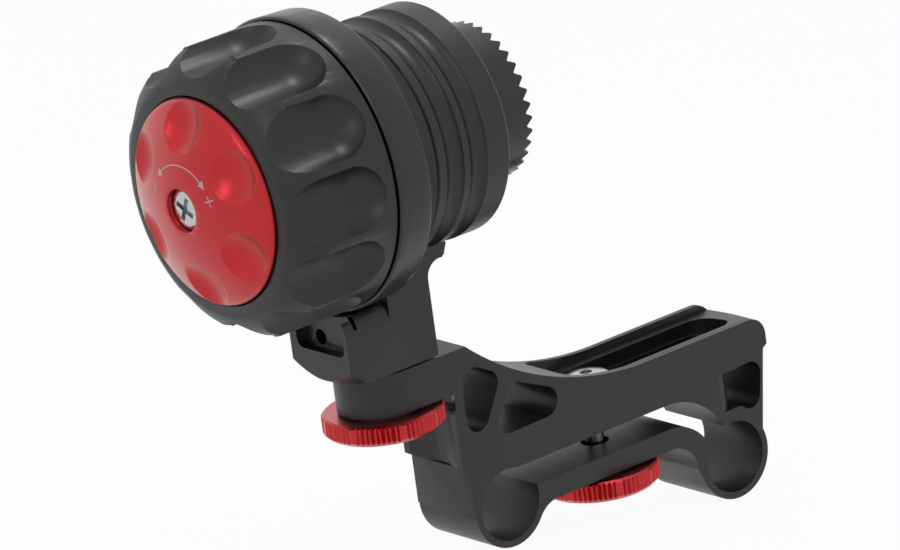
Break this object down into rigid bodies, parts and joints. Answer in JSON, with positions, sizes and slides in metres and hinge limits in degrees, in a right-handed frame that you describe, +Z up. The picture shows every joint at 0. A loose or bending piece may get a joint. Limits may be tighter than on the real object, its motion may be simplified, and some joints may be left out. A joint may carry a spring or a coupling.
{
  "type": "follow focus",
  "caption": "Rod-clamped follow focus: finger-grooved hand wheel with a friction disc and marking ring on a tilted head, turning a crown-toothed hub, on an offset bracket.",
  "frame": {"origin": "on the left rod's axis, at the middle of the bracket's depth", "axes": "+X from the left rod to the right rod, +Y along the rods, +Z up; the arm and the head are tilted 9 degrees about Y"},
  "size_m": [0.1447, 0.0608, 0.1142],
  "materials": {
    "black_anodised": "satin black anodised",
    "red_anodised": "satin red anodised",
    "bright_steel": "turned and ground",
    "brass": "turned",
    "rubber": "matt",
    "nylon": "matt",
    "fibre": "pressed fibre"
  },
  "bodies": {
    "frame": {"bracket": "black_anodised", "clamp_screw": "bright_steel"},
    "clamp_washer": {"clamp_washer": "bright_steel"},
    "clamp_nut": {"clamp_nut": "red_anodised"},
    "head": {"housing": "black_anodised", "arm_stud": "bright_steel", "pivot_shim": "nylon", "collar": "black_anodised", "collar_screws": "bright_steel", "collar_grub_screw": "bright_steel", "ring_band": "rubber", "friction_pad": "fibre", "front_bearing_outer": "bright_steel", "rear_bearing_outer": "bright_steel", "bearing_circlip": "bright_steel"},
    "arm_washer": {"arm_washer": "bright_steel"},
    "arm_nut": {"arm_nut": "red_anodised"},
    "marking_ring": {"marking_ring": "black_anodised"},
    "front_cage": {"front_bearing_balls": "bright_steel"},
    "rear_cage": {"rear_bearing_balls": "bright_steel"},
    "wheel": {"main_shaft": "bright_steel", "drive_pin": "bright_steel", "drive_gear": "black_anodised", "gear_screw": "bright_steel", "front_bearing_inner": "bright_steel", "rear_bearing_inner": "bright_steel", "bearing_spacer": "bright_steel", "handwheel": "black_anodised", "disc_spring": "bright_steel", "disc_screw": "bright_steel"},
    "thrust_washer": {"thrust_washer": "bright_steel"},
    "friction_disc": {"friction_disc": "red_anodised", "disc_nut": "brass"}
  },
  "joints": [
    {"name": "head_swivel", "type": "hinge", "parent": "frame", "child": "head", "pos_m": [-0.02697, 0, 0.03218], "axis": [-0.1564, 0, 0.9877], "continuous": true},
    {"name": "clamp_washer_slide", "type": "slide", "parent": "frame", "child": "clamp_washer", "axis": [0.1564, 0, -0.9877], "range_m": [0, 0.000701]},
    {"name": "clamp_nut_turn", "type": "hinge", "parent": "clamp_washer", "child": "clamp_nut", "pos_m": [0.03022, 0, 0.00479], "axis": [0.1564, 0, -0.9877], "range_deg": [0, 360]},
    {"name": "arm_washer_slide", "type": "slide", "parent": "head", "child": "arm_washer", "axis": [0.1564, 0, -0.9877], "range_m": [0, 0.001]},
    {"name": "arm_nut_turn", "type": "hinge", "parent": "arm_washer", "child": "arm_nut", "pos_m": [-0.02697, 0, 0.03218], "axis": [0.1564, 0, -0.9877], "range_deg": [0, 360]},
    {"name": "marking_ring_turn", "type": "hinge", "parent": "head", "child": "marking_ring", "pos_m": [-0.04222, 0, 0.07482], "axis": [0.9877, 0, 0.1564], "continuous": true},
    {"name": "wheel_spin", "type": "hinge", "parent": "head", "child": "wheel", "pos_m": [-0.04222, 0, 0.07482], "axis": [0.9877, 0, 0.1564], "continuous": true},
    {"name": "front_cage_roll", "type": "hinge", "parent": "head", "child": "front_cage", "pos_m": [-0.04222, 0, 0.07482], "axis": [0.9877, 0, 0.1564], "continuous": true},
    {"name": "rear_cage_roll", "type": "hinge", "parent": "head", "child": "rear_cage", "pos_m": [-0.04222, 0, 0.07482], "axis": [0.9877, 0, 0.1564], "continuous": true},
    {"name": "disc_slide", "type": "slide", "parent": "wheel", "child": "thrust_washer", "axis": [-0.9877, 0, -0.1564], "range_m": [0, 0.000501]},
    {"name": "disc_turn", "type": "hinge", "parent": "thrust_washer", "child": "friction_disc", "pos_m": [-0.04222, 0, 0.07482], "axis": [-0.9877, 0, -0.1564], "range_deg": [0, 180]}
  ],
  "couplings": [
    {"joint": "clamp_washer_slide", "follows": "clamp_nut_turn", "m_per_rad": 0.00011141},
    {"joint": "arm_washer_slide", "follows": "arm_nut_turn", "m_per_rad": 0.00015915},
    {"joint": "disc_slide", "follows": "disc_turn", "m_per_rad": 0.00015915},
    {"joint": "front_cage_roll", "follows": "wheel_spin", "ratio": 0.36667},
    {"joint": "rear_cage_roll", "follows": "wheel_spin", "ratio": 0.36667}
  ]
}
